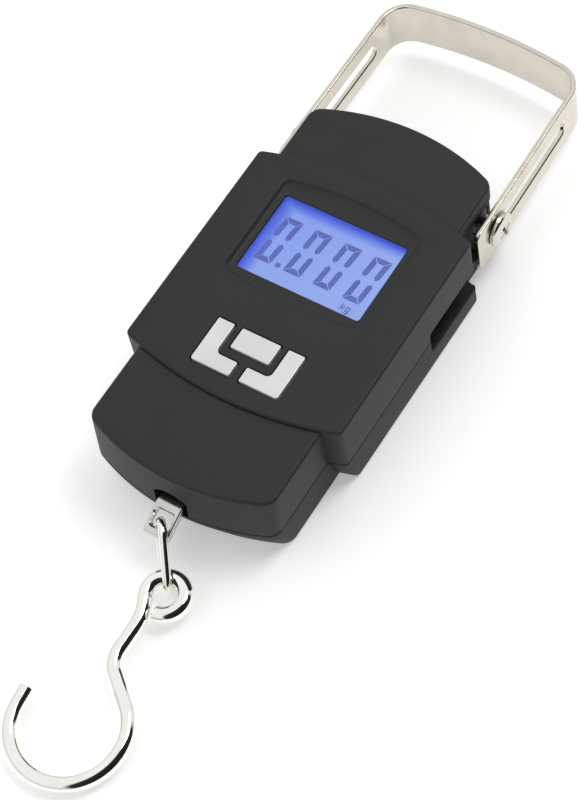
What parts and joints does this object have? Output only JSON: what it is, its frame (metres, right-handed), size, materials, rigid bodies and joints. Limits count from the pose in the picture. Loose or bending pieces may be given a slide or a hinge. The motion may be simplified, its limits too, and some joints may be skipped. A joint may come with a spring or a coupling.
{
  "type": "digital luggage scale",
  "caption": "Hand-held hanging scale: dark grey case with a lit display and silver keys, a sliding steel strap handle and a chrome hook on a chain link.",
  "frame": {"origin": "centre of the flat back face of the case", "axes": "+Z out of the front face, +Y from the hook end to the handle, +X to the right of someone reading the display"},
  "size_m": [0.0684, 0.2464, 0.0285],
  "materials": {
    "case_plastic": "fine spark texture, soft sheen on the edges",
    "rear_plastic": "fine spark texture",
    "window_plastic": "clear, smooth",
    "lcd_glass": "lit from behind, smooth",
    "lcd_segments": "flat print-like segments",
    "white_plastic": "moulded",
    "backlight_plastic": "diffusing",
    "connector_rubber": "soft, matt",
    "board_laminate": "solder mask",
    "black_plastic": "moulded",
    "capacitor_sleeve": "shrunk sleeve",
    "mat_rubber": "silicone, matt",
    "key_plastic": "silver-grey lacquer, satin",
    "cell_aluminium": "milled",
    "lead_sleeve": "extruded",
    "bracket_steel": "zinc plated, dull",
    "handle_steel": "polished along the strip, fine scratches",
    "screw_steel": "nickel plated, satin",
    "hook_chrome": "bright plated",
    "battery_sleeve": "printed sleeve, left blank",
    "contact_steel": "nickel plated",
    "label_film": "blank film"
  },
  "bodies": {
    "case": {"front_cover": "case_plastic", "rear_cover": "rear_plastic", "display_window": "window_plastic", "lcd_panel": "lcd_glass", "lcd_digits": "lcd_segments", "lcd_frame": "white_plastic", "lcd_backlight": "backlight_plastic", "connector_strips": "connector_rubber", "circuit_board": "board_laminate", "controller_chip": "black_plastic", "capacitors": "capacitor_sleeve", "keypad_mat": "mat_rubber", "load_cell": "cell_aluminium", "gauge_sealant": "white_plastic", "cell_leads": "lead_sleeve", "handle_yoke": "bracket_steel", "yoke_pin": "bracket_steel", "bracket_pin": "bracket_steel", "hook_bracket": "bracket_steel", "handle_screw_left": "screw_steel", "handle_screw_right": "screw_steel", "battery_left": "battery_sleeve", "battery_right": "battery_sleeve", "battery_springs": "contact_steel", "battery_contacts": "contact_steel", "battery_leads": "lead_sleeve", "case_screws": "screw_steel", "board_screws": "screw_steel", "rating_label": "label_film"},
    "handle": {"handle": "handle_steel"},
    "key_left": {"key_left": "key_plastic"},
    "key_centre": {"key_centre": "key_plastic"},
    "key_right": {"key_right": "key_plastic"},
    "link": {"link": "hook_chrome"},
    "hook": {"hook": "hook_chrome"},
    "battery_cover": {"battery_cover": "rear_plastic"}
  },
  "joints": [
    {"name": "handle_slide", "type": "slide", "parent": "case", "child": "handle", "axis": [0, -1, 0], "range_m": [0, 0.032]},
    {"name": "key_left_press", "type": "slide", "parent": "case", "child": "key_left", "axis": [0, 0, -1], "range_m": [0, 0.0006], "stiffness_N_per_m": 1500},
    {"name": "key_centre_press", "type": "slide", "parent": "case", "child": "key_centre", "axis": [0, 0, -1], "range_m": [0, 0.0006], "stiffness_N_per_m": 1500},
    {"name": "key_right_press", "type": "slide", "parent": "case", "child": "key_right", "axis": [0, 0, -1], "range_m": [0, 0.0006], "stiffness_N_per_m": 1500},
    {"name": "link_swing", "type": "hinge", "parent": "case", "child": "link", "pos_m": [0.0014, -0.07016, 0.01099], "axis": [1, 0, 0], "range_deg": [-10, 45]},
    {"name": "hook_swing", "type": "hinge", "parent": "link", "child": "hook", "pos_m": [0.0063, -0.07767, 0.005], "axis": [0.8375, 0.5465, 0], "range_deg": [-30, 45]},
    {"name": "battery_cover_hinge", "type": "hinge", "parent": "case", "child": "battery_cover", "pos_m": [0, 0.027, 0.0011], "axis": [1, 0, 0], "range_deg": [0, 100]}
  ]
}
